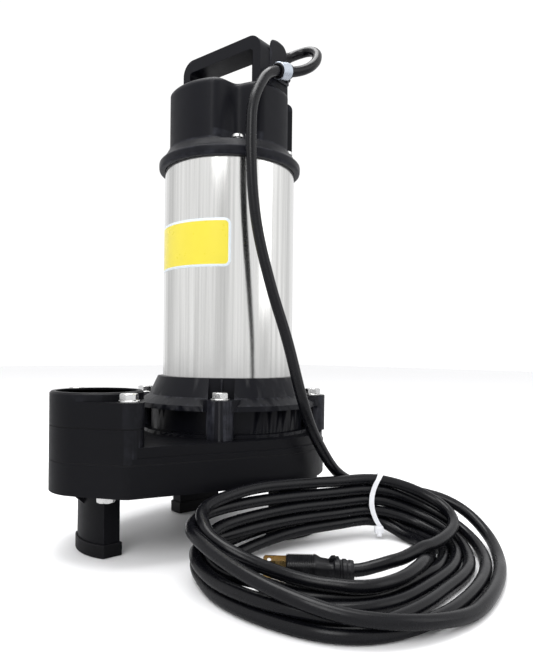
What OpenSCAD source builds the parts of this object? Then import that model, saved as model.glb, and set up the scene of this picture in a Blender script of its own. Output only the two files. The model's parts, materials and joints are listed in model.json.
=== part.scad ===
// Submersible sump pump: a stainless-sleeved vertical motor stands on a volute casing whose
// discharge rises at one side. Millimetres; +Z is up, the floor is z = 0, and the discharge
// lies towards -X. The box of the pump without its cord is centred on the Z axis.

/* [Casing] */
// Radius of the round volute part of the casing
volute_r = 96; // [94:0.5:98]
// Distance from the motor axis to the discharge axis
discharge_gap = 139; // [136:1:142]
// Outer radius of the discharge column
column_r = 38.5; // [38:0.5:40]
// Wall radius of the discharge port
port_r = 33.5; // [32:0.5:34]
// Sideways distance from the discharge axis to each flange bolt
lug_gap = 49.5; // [49:0.5:50]
// Distance of the flange bolts from the discharge axis towards the motor
lug_shift = 3; // [2:0.5:4]
// Outer radius of the lug round a flange bolt
lug_r = 12; // [11.5:0.5:12.5]
// Height of the casing's underside above the floor
casing_z = 54.5; // [53.5:0.5:55]
// Height of the joint between the lower and upper casings
parting_z = 80; // [79:0.5:81]
// Height of the upper casing's flat top
plate_z = 94; // [93.5:0.5:94.5]
// Height of the joint under the discharge flange
flange_z = 108; // [106:0.5:110]
// Height of the discharge flange's bolt lugs
lug_z = 129; // [127:0.5:131]
// Height of the discharge rim
rim_z = 136; // [134:0.5:138]

/* [Legs] */
// Half width of a leg
leg_half = 25; // [24:0.5:25.5]
// Thickness of a leg from its bulged outer side to its flat inner side
leg_t = 21; // [19:0.5:22]
// Height of a rubber boot
boot_h = 11; // [9:0.5:13]
// Wall thickness of a rubber boot
boot_t = 1.6; // [1.2:0.1:2]

/* [Motor] */
// Outer diameter of the stainless motor sleeve
sleeve_d = 128; // [127.6:0.1:128.4]
// Wall thickness of the sleeve
sleeve_t = 1.2; // [1:0.1:1.3]
// Height at which the sleeve comes out of the motor bracket
collar_z = 146; // [145:0.5:147]
// Height at which the sleeve goes into the head cover
ring_z = 346; // [344:0.5:348]
// Distance from the motor axis to each bracket bolt
bracket_bolt_r = 85; // [84:0.5:86]
// Length of the stator and rotor core stacks
core_len = 80; // [70:1:84]
// Number of impeller vanes
vane_count = 6; // [4:1:8]

/* [Head] */
// Outer radius of the cover's lower ring
ring_r = 70; // [69:0.5:71]
// Radius of the cover's body
cover_r = 62; // [61.5:0.5:62.5]
// Height of the cover's top
cover_z = 420; // [416:1:424]
// Turn of the head cover about the motor axis, relative to the base
head_turn = 10; // [6:1:14]
// Height of the top of the carry handle
handle_z = 467.5; // [462:0.5:470]
// Half length of the carry handle
handle_half = 51.5; // [50:0.5:52]
// Width of the carry handle's band
handle_w = 24.8; // [22:0.2:25]

/* [Cord] */
// Diameter of the power cord
cord_d = 9.6; // [9:0.1:10.2]
// Radius of the oval coil's round ends, outside
coil_r = 91; // [88:1:92]
// Half of the straight length between the coil's round ends
coil_half = 40; // [36:1:41]
// Radius of the round ends of the coil's opening
opening_r = 48; // [47.5:0.5:50]
// Height of the coil's top
coil_z = 50; // [46:0.5:51]

/* [Hidden] */
$fn = 72;
eps = 0.01;
motor_x = (discharge_gap + column_r - volute_r) / 2;   // centres the pump's box on the Z axis
sleeve_r = sleeve_d / 2;
inner_r = sleeve_r - sleeve_t;
spigot_r = inner_r - 0.1;
through_r = 57.5;              // distance of the through bolts from the motor axis
through_angles = [-131, -63, 63, 131];
recess_depth = [14, 10.6, 10.6, 14];   // of the recess in the cover over each through bolt
recess_half = [24, 13, 13, 24];        // half of the angle that each recess takes
ledge_z = 363.5;               // top of the cover's ring, where the through bolts' heads sit
core_z = 205;
rotor_r = 32.9;
bore_r = 33.5;
chamber_r = 80;
throat_r = 22;
bolt_r = 3.9;                  // shank of the M8 bolts
bolt_head_r = 7.5;             // across corners, for 13 mm across flats
bolt_head_h = 5.3;
hole_r = 4.2;
m6_r = 2.95;
bracket_angles = [-132, -45, 45, 132];
casing_bolt_r = 88;
casing_bolt_angles = [-118, -22, 22, 118];
throat_bolt = [-148, 36];      // each of the two casing bolts beside the discharge leg
leg_discharge_at = [-discharge_gap - 3, 2];
leg_left_at = [5, 66];
leg_right_at = [24, -77];
leg_bulge_x = 8;               // outermost point of a leg's bulged side
leg_bulge_r = 50;
clip_at = [6.7, -61.5, 436];   // centre of the cord clip, in the head's frame
clip_half = 9;
clip_lean = 16;                // how much the clip rises towards the gland
gland_at = [24.2, -36, 459.5]; // mouth of the cord gland, in the head's frame
gland_r = 5.8;
gland_lean = 28;               // the strain relief's lean above the horizontal
housing_x = [8.3, 24.2];
housing_y = [-51.5, -20];
cheek_x = -3;                  // where the housing's cheek starts on the handle's side
cheek_y = -53;                 // face of that cheek
plug_at = [-4, -177, 10.6];    // middle of the plug's body
plug_turn = -49;
plug_half = 25;
coil_at = [42, -190];
coil_turn = -8;
coil_base = 1.6;
opening_shift = 9;             // how much further the opening goes towards the plug
tie_angle = 69;

// Route of the cord from the gland, through the clip and down to the coil
lead_route = [
    [72.6, -31, 460.4], [81.3, -29.4, 465.1], [90, -28.3, 470], [99, -30, 475.5], [106.5, -36.5, 479],
    [109, -46, 477.5], [107, -55, 470], [100, -60.5, 459], [90, -62, 449.5], [79, -60.5, 443],
    [68, -58.5, 439], [58, -59.5, 436], [46, -61.5, 432], [33, -63.5, 424], [22, -66, 409],
    [12, -69, 388], [8, -72, 362], [7, -74, 335], [8, -76, 305], [11, -80, 272], [17, -91, 225],
    [24, -104, 180], [30, -116, 132], [43, -120, 98], [58, -118, 79], [80, -119, 64], [106, -127, 46]
];
// Route of the cord from the plug back into the coil
tail_route = [
    [12.4, -195.9, 10.8], [24, -209, 14], [42, -221, 20], [62, -225, 26], [84, -222, 32],
    [103, -211, 38], [115, -195, 42], [120, -178, 44], [120, -163, 45], [118, -150, 44]
];

// ---- Shared shapes -------------------------------------------------------------------

function way(a) = [cos(a), sin(a)];

// Puts a shape that is centred on the motor axis in its place
module at_motor() { translate([motor_x, 0, 0]) children(); }

// The same, turned with the head cover
module at_head() { at_motor() rotate([0, 0, head_turn]) children(); }

// A round bar or disc from one height to another
module post(r, low, high) { translate([0, 0, low]) cylinder(r = r, h = high - low); }

// A ring from one height to another
module ring(outer, inner, low, high) {
    difference() {
        post(outer, low, high);
        post(inner, low - 1, high + 1);
    }
}

// The flat outline round two circles and the tangents between them
module linked(p, rp, q, rq) {
    gap = q - p;
    lean = atan2(gap.y, gap.x);
    side = acos((rp - rq) / norm(gap));
    translate(p) circle(rp);
    translate(q) circle(rq);
    polygon([
        p + rp * way(lean + side), p + rp * way(lean - side),
        q + rq * way(lean - side), q + rq * way(lean + side)
    ]);
}

// Centre of the lug round a flange bolt, on side s of the casing
function lug_at(s) = [lug_shift - discharge_gap, s * lug_gap];

// Outline of the discharge column with its two bolt lugs
module column_outline(inset = 0) {
    centre = [-discharge_gap, 0];
    for (s = [-1, 1])
        linked(centre, column_r - inset, lug_at(s), lug_r - inset);
}

// Outline of the whole casing
module casing_outline(inset = 0) {
    column_outline(inset);
    for (s = [-1, 1])
        linked([0, 0], volute_r - inset, lug_at(s), lug_r - inset);
}

// Outline of the water passage from the impeller to the discharge
module passage_outline() { linked([0, 0], chamber_r, [-discharge_gap, 0], throat_r); }

module slab(low, high) { translate([0, 0, low]) linear_extrude(high - low) children(); }

module each_at(points) { for (p = points) translate([p.x, p.y, 0]) children(); }

function around(r, angles) = [for (a = angles) r * way(a)];

casing_bolt_places = concat(
    around(casing_bolt_r, casing_bolt_angles),
    [for (s = [-1, 1]) [throat_bolt.x, s * throat_bolt.y]]
);
flange_bolt_places = [for (s = [-1, 1]) lug_at(s)];

// A hex-headed bolt with its washer: the head stands on `seat` and the shank goes down
module hex_bolt(seat, shank, washer = 1.6) {
    post(bolt_head_r + 0.8, seat, seat + washer);
    translate([0, 0, seat + washer]) cylinder(r = bolt_head_r, h = bolt_head_h, $fn = 6);
    post(bolt_r, seat - shank, seat + washer);
}

// Outline of a leg: bulged outside, flat inside, with its outer side to +X
module leg_outline(grow = 0) {
    intersection() {
        translate([leg_bulge_x - leg_bulge_r, 0]) circle(leg_bulge_r + grow, $fn = 180);
        translate([leg_bulge_x - leg_t - grow, -leg_half - grow])
            square([leg_t + 2 * grow, 2 * (leg_half + grow)]);
    }
}

module place_leg(at, turn) { at_motor() translate([at.x, at.y, 0]) rotate([0, 0, turn]) children(); }

// A leg with the gusset rib that braces it under the casing
module leg(rib = 8) {
    color("#1b1c20") {
        slab(4, casing_z) leg_outline();
        translate([leg_bulge_x - 2, 2, casing_z]) rotate([90, 0, 0])
            linear_extrude(4) polygon([[0, 0], [rib, 0], [rib, -3], [0, -rib - 2]]);
    }
}

module boot() {
    color("#131316") difference() {
        slab(0, boot_h) leg_outline(boot_t);
        slab(4, boot_h + 1) leg_outline();
    }
}

// ---- Tubes swept along a route -------------------------------------------------------

function unit(v) = v / norm(v);

function spline_point(a, b, c, d, t) =
    0.5 * (2 * b + (c - a) * t + (2 * a - 5 * b + 4 * c - d) * t * t + (3 * b - a - 3 * c + d) * t * t * t);

function smooth(route, parts) = let (last = len(route) - 1) concat(
    [for (i = [0 : last - 1], k = [0 : parts - 1])
        spline_point(route[max(i - 1, 0)], route[i], route[i + 1], route[min(i + 2, last)], k / parts)],
    [route[last]]
);

function heading(p, i) = unit(p[min(i + 1, len(p) - 1)] - p[max(i - 1, 0)]);

function flatten_to(n, t) = unit(n - (n * t) * t);

// One vector across the tube at each point, carried along so that the tube never twists
function across(p, start) =
    [for (i = 0, n = flatten_to(start, heading(p, 0)); i < len(p);
        i = i + 1, n = i < len(p) ? flatten_to(n, heading(p, i)) : n) n];

module tube(p, r, sides, start) {
    n = across(p, start);
    rings = [for (i = [0 : len(p) - 1], k = [0 : sides - 1])
        let (a = 360 * k / sides, t = heading(p, i))
        p[i] + r * (cos(a) * n[i] + sin(a) * cross(t, n[i]))];
    last = (len(p) - 1) * sides;
    walls = [for (i = [0 : len(p) - 2], k = [0 : sides - 1])
        let (a = i * sides + k, b = i * sides + (k + 1) % sides)
        each [[a, a + sides, b + sides], [a, b + sides, b]]];
    caps = [[for (k = [0 : sides - 1]) k], [for (k = [sides - 1 : -1 : 0]) last + k]];
    polyhedron(rings, concat(walls, caps));
}

// ---- Base and casing -----------------------------------------------------------------

module leg_discharge() { place_leg(leg_discharge_at, 180) leg(13); }
module leg_left() { place_leg(leg_left_at, 90) leg(); }
module leg_right() { place_leg(leg_right_at, -90) leg(); }
module boot_discharge() { place_leg(leg_discharge_at, 180) boot(); }
module boot_left() { place_leg(leg_left_at, 90) boot(); }
module boot_right() { place_leg(leg_right_at, -90) boot(); }

eye_r = 26;                    // suction eye
eye_seat_r = 40;
suction_flange_r = 50;
suction_screw_r = 45;
chamber_z = 57.5;

module casing_lower() {
    color("#1a1b1f") at_motor() difference() {
        slab(casing_z, parting_z) casing_outline();
        slab(chamber_z, parting_z + 1) passage_outline();
        post(eye_seat_r, casing_z - 1, chamber_z + 1);
        each_at(casing_bolt_places) post(hole_r, casing_z - 1, parting_z + 1);
        each_at(around(suction_screw_r, [45 : 90 : 315])) post(2.55, casing_z - 1, chamber_z - 1);
    }
}

module suction_plate() {
    color("#26272b") at_motor() difference() {
        union() {
            post(suction_flange_r, casing_z - 3, casing_z);
            post(eye_seat_r - 0.1, casing_z - eps, chamber_z);
        }
        post(eye_r, casing_z - 4, chamber_z + 1);
        each_at(around(suction_screw_r, [45 : 90 : 315])) post(2.7, casing_z - 4, casing_z + 1);
    }
}

module suction_screws() {
    color("silver") at_motor() each_at(around(suction_screw_r, [45 : 90 : 315])) {
        post(2.5, casing_z - 3, chamber_z - 2);
        post(4.6, casing_z - 5.6, casing_z - 3);
    }
}

module casing_bolts() {
    color("silver") at_motor() each_at(casing_bolt_places) {
        translate([0, 0, casing_z - bolt_head_h]) cylinder(r = bolt_head_r, h = bolt_head_h, $fn = 6);
        post(bolt_r, casing_z - eps, parting_z + 9);
    }
}

gasket_t = 1;
upper_z = parting_z + gasket_t;

module casing_gasket() {
    color("#0d0d0f") at_motor() difference() {
        slab(parting_z, upper_z) casing_outline(0.5);
        slab(parting_z - 1, upper_z + 1) passage_outline();
        each_at(casing_bolt_places) post(hole_r, parting_z - 1, upper_z + 1);
    }
}

step_z = 85.5;
roof_z = 87;
seal_hole_r = 30;

module casing_upper() {
    centre = [-discharge_gap, 0, 0];
    color("#1c1d21") at_motor() difference() {
        union() {
            slab(upper_z, step_z) casing_outline();
            slab(step_z - eps, plate_z) casing_outline(1.2);
            slab(step_z - eps, flange_z) column_outline();
        }
        post(chamber_r, upper_z - 1, roof_z);
        post(seal_hole_r, roof_z - 1, plate_z + 1);
        translate(centre) post(throat_r, upper_z - 1, plate_z + 1);
        translate(centre) post(port_r - 2.5, plate_z, flange_z + 1);
        each_at(casing_bolt_places) post(4, upper_z - 1, upper_z + 9.5);
        each_at(flange_bolt_places) post(4, flange_z - 14, flange_z + 1);
        each_at(around(bracket_bolt_r, bracket_angles)) post(4, plate_z - 8, plate_z + 1);
    }
}

module discharge_gasket() {
    color("#0d0d0f") at_motor() difference() {
        slab(flange_z, flange_z + gasket_t) column_outline(0.8);
        translate([-discharge_gap, 0, 0]) post(port_r, flange_z - 1, flange_z + 2);
        each_at(flange_bolt_places) post(hole_r, flange_z - 1, flange_z + 2);
    }
}

module discharge_flange() {
    color("#1c1d21") at_motor() difference() {
        union() {
            slab(flange_z + gasket_t, lug_z) column_outline();
            translate([-discharge_gap, 0, 0]) {
                post(column_r, lug_z - eps, rim_z - 1.5);
                translate([0, 0, rim_z - 1.5 - eps])
                    cylinder(r1 = column_r, r2 = column_r - 1.5, h = 1.5 + eps);
            }
        }
        translate([-discharge_gap, 0, 0]) post(port_r, flange_z, rim_z + 1);
        each_at(flange_bolt_places) post(hole_r, flange_z, rim_z);
    }
}

module discharge_bolts() {
    color("silver") at_motor() each_at(flange_bolt_places) rotate([0, 0, 12]) hex_bolt(lug_z, lug_z - flange_z + 11);
}

// ---- Motor bracket -------------------------------------------------------------------

ledge_low = 118;
ledge_rim = 122.5;
ledge_high = 129;
boss_r = 12;
boss_z = 128;
groove_z = 140;                // bottom of the groove that takes the sleeve
pocket_half = 11.5;
oil_r = 64;
oil_low = 99;
oil_high = 136;
hub_r = 33;
spigot_z = 156;
lower_bearing_z = 138;
lower_bearing_w = 14;
pocket_in = 68;                // where a bolt's pocket starts in the collar

module bracket_body() {
    post(75, plate_z, ledge_low + eps);
    post(82, plate_z, plate_z + 3);
    post(88, ledge_low, ledge_rim);
    translate([0, 0, ledge_rim - eps]) cylinder(r1 = 88, r2 = 77, h = ledge_high - ledge_rim + eps);
    translate([0, 0, ledge_high - eps]) cylinder(r1 = 77, r2 = 69, h = collar_z - ledge_high + eps);
    post(spigot_r, collar_z - eps, spigot_z);
    each_at(around(bracket_bolt_r, bracket_angles)) post(boss_r, plate_z, boss_z);
    for (a = bracket_angles) rotate([0, 0, a]) slab(ledge_low, boss_z)
        polygon([[60, -18], [80, -17.5], [88, -14], [92, -9], [92, 9], [88, 14], [80, 17.5], [60, 18]]);
}

// The pocket cut for a bolt's head in the collar, and the thin rib left in it
module bolt_pocket() {
    difference() {
        translate([pocket_in, -pocket_half, boss_z]) cube([40, 2 * pocket_half, 40]);
        translate([pocket_in - 1, -0.7, boss_z - 1]) cube([4, 1.4, 18]);
    }
}

module motor_bracket() {
    color("#1a1b20") at_motor() difference() {
        bracket_body();
        for (a = bracket_angles) rotate([0, 0, a]) bolt_pocket();
        ring(sleeve_r, inner_r, groove_z, spigot_z + 1);
        // oil chamber, shaft hole and lower bearing seat
        difference() {
            post(oil_r - 4, oil_low, oil_high);
            post(hub_r - 6, oil_high - 8, oil_high + 1);
        }
        post(61.5, plate_z - 1, oil_low);
        post(13, oil_high - 10, spigot_z + 1);
        post(23.5, lower_bearing_z, spigot_z + 1);
        difference() {
            post(50, collar_z, spigot_z + 1);
            post(hub_r - 5, collar_z - 1, spigot_z + 1);
        }
        ring(spigot_r + 1, spigot_r - 1.9, 149, 152);
        each_at(around(bracket_bolt_r, bracket_angles)) post(hole_r, plate_z - 1, boss_z + 1);
        rotate([0, 0, head_turn]) each_at(around(through_r, through_angles)) post(3, 143, spigot_z + 1);
        // filler hole of the oil chamber
        translate([0, 0, 107]) rotate([0, 90, 0]) cylinder(r = 5, h = 90);
    }
}

module bracket_bolts() {
    color("silver") at_motor() for (a = bracket_angles)
        rotate([0, 0, a]) translate([bracket_bolt_r, 0, 0]) rotate([0, 0, 22]) hex_bolt(boss_z, boss_z - plate_z + 7, 1.2);
}

module oil_plug() {
    color("#b58a3c") at_motor() translate([0, 0, 107]) rotate([0, 90, 0]) {
        translate([0, 0, 61]) cylinder(r = 4.95, h = 14);
        translate([0, 0, 75]) cylinder(r = 7, h = 5, $fn = 6);
    }
}

// ---- Shaft seal ----------------------------------------------------------------------

shaft_seal_r = 8;

module seal_plate() {
    color("#2a2b30") at_motor() difference() {
        union() {
            post(61.4, plate_z, oil_low - 0.1);
            post(seal_hole_r - 0.1, roof_z, plate_z + eps);
        }
        post(shaft_seal_r + 1, roof_z - 1, oil_low + 1);
        post(16, 93, oil_low + 1);
    }
}

module seal_seat() { color("#8d8f94") at_motor() ring(15.95, shaft_seal_r + 0.5, 93, 99.3); }

module seal_head() {
    color("#33343a") at_motor() {
        difference() {
            union() {
                post(15, 99.7, 106);
                post(12.5, 106 - eps, 109);
                post(14, 121, 124);
            }
            post(shaft_seal_r, 99, 125);
        }
    }
}

module seal_spring() {
    turns = 4;
    coil = [for (i = [0 : turns * 12]) [13 * cos(30 * i), 13 * sin(30 * i), 110.1 + 9.8 * i / (turns * 12)]];
    color("silver") at_motor() tube(coil, 0.85, 8, [0, 0, 1]);
}

// ---- Rotating parts ------------------------------------------------------------------

shroud_low = 76;
shroud_high = 80;
impeller_r = 66;
hub_low = 66;
hub_high = 84;
impeller_shaft_r = 7;

// One backward-curved vane: a slice of a ring that starts near the hub
module vane() {
    bend = 46;
    intersection() {
        translate([19 + bend * 0.5, bend * 0.8, 0]) difference() {
            circle(bend);
            circle(bend - 3.2);
        }
        difference() {
            circle(impeller_r - 1);
            circle(17);
            translate([-impeller_r, 6]) square([2 * impeller_r, impeller_r]);
        }
    }
}

module impeller() {
    color("#3a3b40") at_motor() difference() {
        union() {
            post(impeller_r, shroud_low, shroud_high);
            post(14, hub_low, hub_high);
            for (i = [0 : vane_count - 1]) rotate([0, 0, 360 * i / vane_count])
                slab(61, shroud_low + 1) vane();
        }
        post(impeller_shaft_r, hub_low - 1, hub_high + 1);
        translate([0, -1.5, hub_low - 1]) cube([9.6, 3, hub_high - hub_low + 2]);
    }
}

module impeller_washer() { color("silver") at_motor() ring(12, impeller_shaft_r, 64.5, 66); }

module impeller_nut() {
    color("silver") at_motor() difference() {
        translate([0, 0, 59.5]) cylinder(r = 11, h = 5, $fn = 6);
        post(impeller_shaft_r, 61, 66);
    }
}

module shaft_key() { color("#777a80") at_motor() translate([4, -1.45, 67]) cube([5.5, 2.9, 15]); }

module motor_shaft() {
    color("#a9abb0") at_motor() difference() {
        union() {
            post(impeller_shaft_r, 61, 84.5);
            post(shaft_seal_r, 84.5 - eps, 130);
            post(10, 130 - eps, 164);
            post(14, 164 - eps, 300);
            post(8.5, 300 - eps, 329);
        }
        translate([4, -1.5, 66.5]) cube([5, 3, 16]);
    }
}

module rotor_core() { color("#6d6f75") at_motor() ring(rotor_r, 14, core_z, core_z + core_len); }

module rotor_end_rings() {
    color("#c9cbd0") at_motor() for (z = [core_z - 7, core_z + core_len]) {
        ring(30.5, 20, z, z + 7);
        for (i = [0 : 7]) rotate([0, 0, 45 * i])
            translate([23, -1, z == core_z + core_len ? z + 7 - eps : z - 5]) cube([6, 2, 5 + eps]);
    }
}

// ---- Bearings ------------------------------------------------------------------------

ball_slack = 0.05;

module bearing_outer(outer, inner, low, w) {
    pitch = (outer + inner) / 2;
    ball = (outer - inner) * 0.28;
    translate([0, 0, low + w / 2]) rotate_extrude() difference() {
        translate([pitch + ball * 0.55, -w / 2]) square([outer - pitch - ball * 0.55, w]);
        translate([pitch, 0]) circle(ball + ball_slack);
    }
}

module bearing_inner(outer, inner, low, w) {
    pitch = (outer + inner) / 2;
    ball = (outer - inner) * 0.28;
    translate([0, 0, low + w / 2]) rotate_extrude() difference() {
        translate([inner, -w / 2]) square([pitch - ball * 0.55 - inner, w]);
        translate([pitch, 0]) circle(ball + ball_slack);
    }
}

module bearing_balls(outer, inner, low, w, count) {
    pitch = (outer + inner) / 2;
    ball = (outer - inner) * 0.28;
    translate([0, 0, low + w / 2]) {
        ring(pitch + 1, pitch - 1, -ball * 0.6, ball * 0.6);
        for (i = [0 : count - 1]) rotate([0, 0, 360 * i / count]) translate([pitch, 0, 0]) sphere(ball);
    }
}

upper_bearing_z = 316;
upper_bearing_w = 12;

module lower_bearing_outer() { color("#b9bcc2") at_motor() bearing_outer(23.5, 10, lower_bearing_z, lower_bearing_w); }
module lower_bearing_inner() { color("#b9bcc2") at_motor() bearing_inner(23.5, 10, lower_bearing_z, lower_bearing_w); }
module lower_bearing_balls() { color("#d8dade") at_motor() bearing_balls(23.5, 10, lower_bearing_z, lower_bearing_w, 8); }
module upper_bearing_outer() { color("#b9bcc2") at_motor() bearing_outer(20, 8.5, upper_bearing_z, upper_bearing_w); }
module upper_bearing_inner() { color("#b9bcc2") at_motor() bearing_inner(20, 8.5, upper_bearing_z, upper_bearing_w); }
module upper_bearing_balls() { color("#d8dade") at_motor() bearing_balls(20, 8.5, upper_bearing_z, upper_bearing_w, 7); }
module wave_washer() { color("#777a80") at_motor() ring(19.5, 16.5, 328, 330); }

module upper_bearing_bracket() {
    color("#8b8e94") at_motor() difference() {
        union() {
            post(spigot_r, 318, 326);
            post(26, 312, 334);
        }
        post(20, 311, 330);
        post(6, 329, 335);
        rotate([0, 0, head_turn]) each_at(around(through_r, through_angles)) post(3.4, 317, 327);
        each_at(around(41, [10 : 60 : 310])) post(7, 317, 327);
    }
}

// ---- Motor ---------------------------------------------------------------------------

module stator_core() {
    color("#5c5e66") at_motor() difference() {
        post(spigot_r, core_z, core_z + core_len);
        post(bore_r, core_z - 1, core_z + core_len + 1);
        rotate([0, 0, head_turn]) each_at(around(through_r, through_angles))
            post(4, core_z - 1, core_z + core_len + 1);
        for (i = [0 : 23]) rotate([0, 0, 15 * i]) translate([bore_r - 1, -1.2, core_z - 1]) cube([5, 2.4, core_len + 2]);
    }
}

module stator_windings() {
    color("#b0652b") at_motor() for (z = [core_z - 10, core_z + core_len + 10])
        translate([0, 0, z]) rotate_extrude() {
            translate([37, -8]) square([13, 16]);
            translate([39, -10]) square([9, 20]);
            for (x = [39, 48], y = [-8, 8]) translate([x, y]) circle(2);
        }
}

module motor_sleeve() { color("#d5d6d4") at_motor() ring(sleeve_r, inner_r, groove_z, 352); }

module sleeve_oring(z) { translate([0, 0, z]) rotate_extrude() translate([spigot_r - 0.9, 0]) circle(0.95); }
module sleeve_oring_lower() { color("#101012") at_motor() sleeve_oring(150.5); }
module sleeve_oring_upper() { color("#101012") at_motor() sleeve_oring(340); }

module through_bolts() {
    color("silver") at_head() each_at(around(through_r, through_angles)) {
        post(m6_r, 144, ledge_z + eps);
        intersection() {
            post(5.6, ledge_z, ledge_z + 4);
            translate([0, 0, ledge_z - 3.2]) sphere(6.8);
        }
    }
}

module label() {
    half = 50;
    tall = 22;
    corner = 6;
    color("#d9c33a") at_motor() rotate([0, 0, -171]) intersection() {
        ring(sleeve_r + 0.35, sleeve_r, 240, 300);
        translate([30, 0, 268]) rotate([90, 0, 90]) linear_extrude(60) union() {
            square([2 * half - 2 * corner, 2 * tall], center = true);
            square([2 * half, 2 * tall - 2 * corner], center = true);
            for (x = [-1, 1], y = [-1, 1]) translate([x * (half - corner), y * (tall - corner)]) circle(corner);
        }
    }
}

// ---- Head cover ----------------------------------------------------------------------

cover_fillet = 7;

// How deep a recess is at a share of its half width: the wide ones are waves, the narrow ones have lips
function recess_at(i, share) = abs(share) >= 1 ? 0
    : recess_depth[i] * (i == 0 || i == 3 ? (1 + cos(180 * share)) / 2 : sqrt(1 - share * share));

function cover_edge(a) = cover_r
    - max([for (i = [0 : len(through_angles) - 1]) recess_at(i, (a - through_angles[i]) / recess_half[i])]);

// Outline of the cover's body, with a recess for each through bolt
module cover_outline(inset = 0) {
    step = 2;
    polygon([for (a = [-180 : step : 180 - step]) (cover_edge(a) - inset) * way(a)]);
}

module cover_solid() {
    rotate_extrude() polygon([
        [52, 334], [spigot_r, 334], [spigot_r, 352], [sleeve_r, 352], [sleeve_r, ring_z + 0.6],
        [sleeve_r + 2, ring_z], [ring_r - 2, ring_z], [ring_r - 0.6, ring_z + 0.8], [ring_r, ring_z + 2.5],
        [ring_r, ring_z + 7], [ring_r - 0.8, ring_z + 8.5], [cover_r + 0.4, ledge_z - 0.6], [cover_r - 1, ledge_z],
        [52, ledge_z]
    ]);
    slab(ledge_z - 5, ledge_z) difference() {
        circle(cover_r - 1.5);
        cover_outline(3);
    }
    intersection() {
        slab(ledge_z - 1, cover_z) cover_outline();
        union() {
            post(cover_r, ledge_z - 2, cover_z - cover_fillet);
            rotate_extrude() {
                square([cover_r - cover_fillet, cover_z]);
                translate([cover_r - cover_fillet, cover_z - cover_fillet]) intersection() {
                    circle(cover_fillet);
                    square(cover_fillet);
                }
            }
        }
    }
}

module head_cover() {
    color("#1e1f24") at_head() difference() {
        cover_solid();
        slab(ledge_z - 2, cover_z - 6) cover_outline(5);
        ring(spigot_r + 1, spigot_r - 1.9, 338.5, 341.5);
        each_at(around(through_r, through_angles)) post(3.3, 333, ledge_z + 10);
        for (y = [-46.5, 46.5]) translate([-4.1, y, 0]) post(2.2, cover_z - 7, cover_z + 1);
    }
}

handle_x = -16.5;
handle_post = 9.5;
handle_bar = 12.4;

module rounded_top(half, top, base, r) {
    translate([-half, base]) square([2 * half, top - r - base]);
    translate([-half + r, base]) square([2 * (half - r), top - base]);
    for (s = [-1, 1]) translate([s * (half - r), top - r]) circle(r);
}

module carry_handle() {
    color("#202126") at_head() difference() {
        translate([handle_x, 0, 0]) rotate([90, 0, 90]) linear_extrude(handle_w) difference() {
            rounded_top(handle_half, handle_z, cover_z, 14);
            rounded_top(handle_half - handle_post, handle_z - handle_bar, cover_z - 1, 3);
        }
        for (y = [-46.5, 46.5]) translate([-4.1, y, 0]) post(2, cover_z - 1, cover_z + 12);
    }
}

module handle_screws() {
    color("silver") at_head() for (y = [-46.5, 46.5]) translate([-4.1, y, 0]) {
        post(1.95, cover_z - 6, cover_z + 11);
        post(3.6, cover_z - 8.2, cover_z - 6);
    }
}

// Outline of the housing seen from the front, with its upper right corner rounded
module housing_outline(start) {
    corner = 9;
    translate([start, cover_z]) square([housing_x[1] - start, handle_z - corner - cover_z]);
    translate([start, cover_z]) square([housing_x[1] - corner - start, handle_z - cover_z]);
    intersection() {
        translate([housing_x[1] - corner, handle_z - corner]) circle(corner);
        translate([start, cover_z]) square(handle_z);
    }
    translate([housing_x[0], cover_z]) square([housing_x[1] - housing_x[0] + 2.2, 12]);
}

module upright(front, back) { translate([0, back, 0]) rotate([90, 0, 0]) linear_extrude(back - front) children(); }

module cord_housing() {
    color("#1e1f24") at_head() difference() {
        union() {
            upright(housing_y[0], housing_y[1]) housing_outline(housing_x[0]);
            upright(cheek_y, housing_y[0] + eps) housing_outline(cheek_x);
        }
        translate([housing_x[0] + 3, gland_at.y, gland_at.z]) rotate([0, 90, 0]) cylinder(r = gland_r + 0.05, h = 30);
    }
}

module cord_gland() {
    relief = 22;
    color("#101013") at_head() translate([housing_x[1], gland_at.y, gland_at.z]) difference() {
        union() {
            translate([2, 0, 0]) rotate([0, -90, 0]) cylinder(r = gland_r, h = housing_x[1] - housing_x[0] - 1);
            rotate([0, 90 - gland_lean, 0]) cylinder(r1 = gland_r - 0.1, r2 = cord_d / 2 + 0.6, h = relief);
        }
        rotate([0, 90 - gland_lean, 0]) translate([0, 0, 2]) cylinder(r = cord_d / 2, h = relief);
    }
}

clip_liner_t = 2.2;
clip_band_t = 1.2;

module at_clip() { at_head() translate(clip_at) rotate([0, 90 - clip_lean, 0]) children(); }

// The clip's screw, at the origin with its head towards -Y
module at_clip_screw() {
    at_head() translate([21, cheek_y - clip_band_t, 435.5]) rotate([90, 0, 0]) children();
}

module clip_band() {
    inner = cord_d / 2 + clip_liner_t;
    color("#c4c8cf") difference() {
        union() {
            at_clip() cylinder(r = inner + clip_band_t, h = 2 * clip_half, center = true);
            at_head() translate([clip_at.x, cheek_y - clip_band_t, 429.5]) cube([17.4, clip_band_t, 12]);
        }
        at_clip() cylinder(r = inner, h = 3 * clip_half, center = true);
        at_clip_screw() translate([0, 0, -3]) cylinder(r = 2.3, h = 5);
    }
}

module clip_liner() {
    color("#141416") at_clip() difference() {
        translate([0, 0, -clip_half - 4]) cylinder(r = cord_d / 2 + clip_liner_t, h = 2 * clip_half + 5.5);
        cylinder(r = cord_d / 2, h = 4 * clip_half, center = true);
    }
}

module clip_screw() {
    color("#2b2c30") at_clip_screw() {
        cylinder(r = 3.2, h = 2.4);
        translate([0, 0, eps - clip_band_t]) cylinder(r = 2.2, h = clip_band_t);
    }
}

module capacitor() { color("#2f5f8f") at_head() translate([-28, 0, 0]) post(15, cover_z - 52, cover_z - 6); }

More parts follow.
